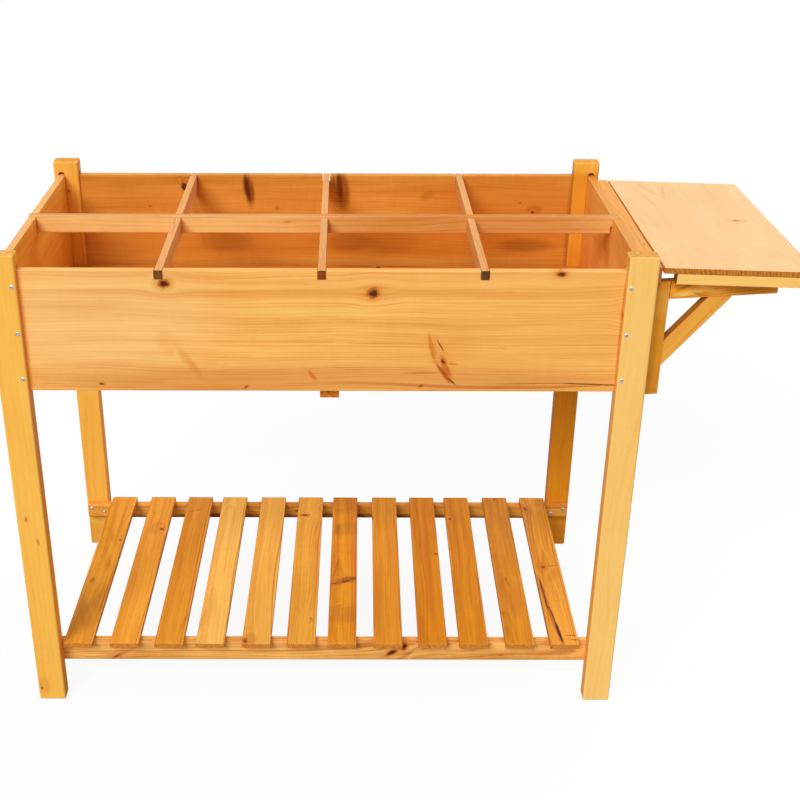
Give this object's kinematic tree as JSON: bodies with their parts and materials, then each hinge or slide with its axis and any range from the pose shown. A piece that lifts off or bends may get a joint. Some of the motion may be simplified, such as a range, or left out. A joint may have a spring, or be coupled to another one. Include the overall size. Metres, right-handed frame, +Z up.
{
  "type": "raised planter table",
  "caption": "Raised wooden planter on four legs with a lift-out divider grid, a slatted lower shelf and a hinged side table on swing brackets.",
  "frame": {"origin": "centre of the base of the overall box, on the floor under the legs", "axes": "+X along the planter towards the side table, +Y from the front panel to the back panel, +Z up"},
  "size_m": [1.2072, 0.5164, 0.8],
  "materials": {
    "leg_front_left": "clear amber varnish",
    "leg_front_right": "clear amber varnish",
    "leg_back_left": "clear amber varnish",
    "leg_back_right": "clear amber varnish",
    "front_panel": "clear amber varnish",
    "back_panel": "clear amber varnish",
    "end_panel_left": "clear amber varnish",
    "end_panel_right": "clear amber varnish",
    "floor_board_1": "clear amber varnish",
    "floor_board_2": "clear amber varnish",
    "floor_board_3": "clear amber varnish",
    "floor_board_4": "clear amber varnish",
    "floor_bearer": "clear amber varnish",
    "floor_cleat_left": "clear amber varnish",
    "floor_cleat_right": "clear amber varnish",
    "shelf_rail_front": "clear amber varnish",
    "shelf_rail_back": "clear amber varnish",
    "shelf_slat_01": "clear amber varnish",
    "shelf_slat_02": "clear amber varnish",
    "shelf_slat_03": "clear amber varnish",
    "shelf_slat_04": "clear amber varnish",
    "shelf_slat_05": "clear amber varnish",
    "shelf_slat_06": "clear amber varnish",
    "shelf_slat_07": "clear amber varnish",
    "shelf_slat_08": "clear amber varnish",
    "shelf_slat_09": "clear amber varnish",
    "shelf_slat_10": "clear amber varnish",
    "shelf_slat_11": "clear amber varnish",
    "shelf_slat_12": "clear amber varnish",
    "hinge_strip": "clear amber varnish",
    "hinge steel": "zinc plated",
    "screw steel": "zinc plated",
    "long_divider": "sawn, lightly varnished",
    "cross_divider_1": "sawn, lightly varnished",
    "cross_divider_2": "sawn, lightly varnished",
    "cross_divider_3": "sawn, lightly varnished",
    "table_leaf": "clear varnish, pale",
    "leaf_batten_front": "clear varnish, pale",
    "leaf_batten_back": "clear varnish, pale",
    "front_bracket_post": "clear amber varnish",
    "front_bracket_arm": "clear amber varnish",
    "front_bracket_brace": "clear amber varnish",
    "back_bracket_post": "clear amber varnish",
    "back_bracket_arm": "clear amber varnish",
    "back_bracket_brace": "clear amber varnish"
  },
  "bodies": {
    "planter": {"leg_front_left": "leg_front_left", "leg_front_right": "leg_front_right", "leg_back_left": "leg_back_left", "leg_back_right": "leg_back_right", "front_panel": "front_panel", "back_panel": "back_panel", "end_panel_left": "end_panel_left", "end_panel_right": "end_panel_right", "floor_board_1": "floor_board_1", "floor_board_2": "floor_board_2", "floor_board_3": "floor_board_3", "floor_board_4": "floor_board_4", "floor_bearer": "floor_bearer", "floor_cleat_left": "floor_cleat_left", "floor_cleat_right": "floor_cleat_right", "shelf_rail_front": "shelf_rail_front", "shelf_rail_back": "shelf_rail_back", "shelf_slat_01": "shelf_slat_01", "shelf_slat_02": "shelf_slat_02", "shelf_slat_03": "shelf_slat_03", "shelf_slat_04": "shelf_slat_04", "shelf_slat_05": "shelf_slat_05", "shelf_slat_06": "shelf_slat_06", "shelf_slat_07": "shelf_slat_07", "shelf_slat_08": "shelf_slat_08", "shelf_slat_09": "shelf_slat_09", "shelf_slat_10": "shelf_slat_10", "shelf_slat_11": "shelf_slat_11", "shelf_slat_12": "shelf_slat_12", "hinge_strip": "hinge_strip", "table_hinge_fixed_plates": "hinge steel", "table_hinge_pins": "hinge steel", "bracket_hinge_fixed_plates": "hinge steel", "bracket_hinge_pins": "hinge steel", "panel_screws": "screw steel", "rail_screws": "screw steel", "slat_screws": "screw steel", "floor_screws": "screw steel", "cleat_and_strip_screws": "screw steel", "hinge_screws_frame": "screw steel"},
    "divider grid": {"long_divider": "long_divider", "cross_divider_1": "cross_divider_1", "cross_divider_2": "cross_divider_2", "cross_divider_3": "cross_divider_3"},
    "leaf": {"table_leaf": "table_leaf", "leaf_batten_front": "leaf_batten_front", "leaf_batten_back": "leaf_batten_back", "table_hinge_leaf_plates": "hinge steel", "hinge_screws_leaf": "screw steel", "leaf_batten_screws": "screw steel"},
    "front bracket": {"front_bracket_post": "front_bracket_post", "front_bracket_arm": "front_bracket_arm", "front_bracket_brace": "front_bracket_brace", "front_bracket_hinge_plates": "hinge steel", "front_bracket_screws": "screw steel"},
    "back bracket": {"back_bracket_post": "back_bracket_post", "back_bracket_arm": "back_bracket_arm", "back_bracket_brace": "back_bracket_brace", "back_bracket_hinge_plates": "hinge steel", "back_bracket_screws": "screw steel"}
  },
  "joints": [
    {"name": "grid lift", "type": "slide", "parent": "planter", "child": "divider grid", "axis": [0, 0, 1], "range_m": [0, 0.15]},
    {"name": "leaf lift", "type": "hinge", "parent": "planter", "child": "leaf", "pos_m": [0.38007, -0.012, 0.7633], "axis": [0, -1, 0], "range_deg": [0, 9]},
    {"name": "front bracket swing", "type": "hinge", "parent": "planter", "child": "front bracket", "pos_m": [0.36207, -0.2054, 0.656], "axis": [0, 0, 1], "range_deg": [0, 81.8]},
    {"name": "back bracket swing", "type": "hinge", "parent": "planter", "child": "back bracket", "pos_m": [0.36207, 0.1814, 0.656], "axis": [0, 0, -1], "range_deg": [0, 81.8]}
  ]
}
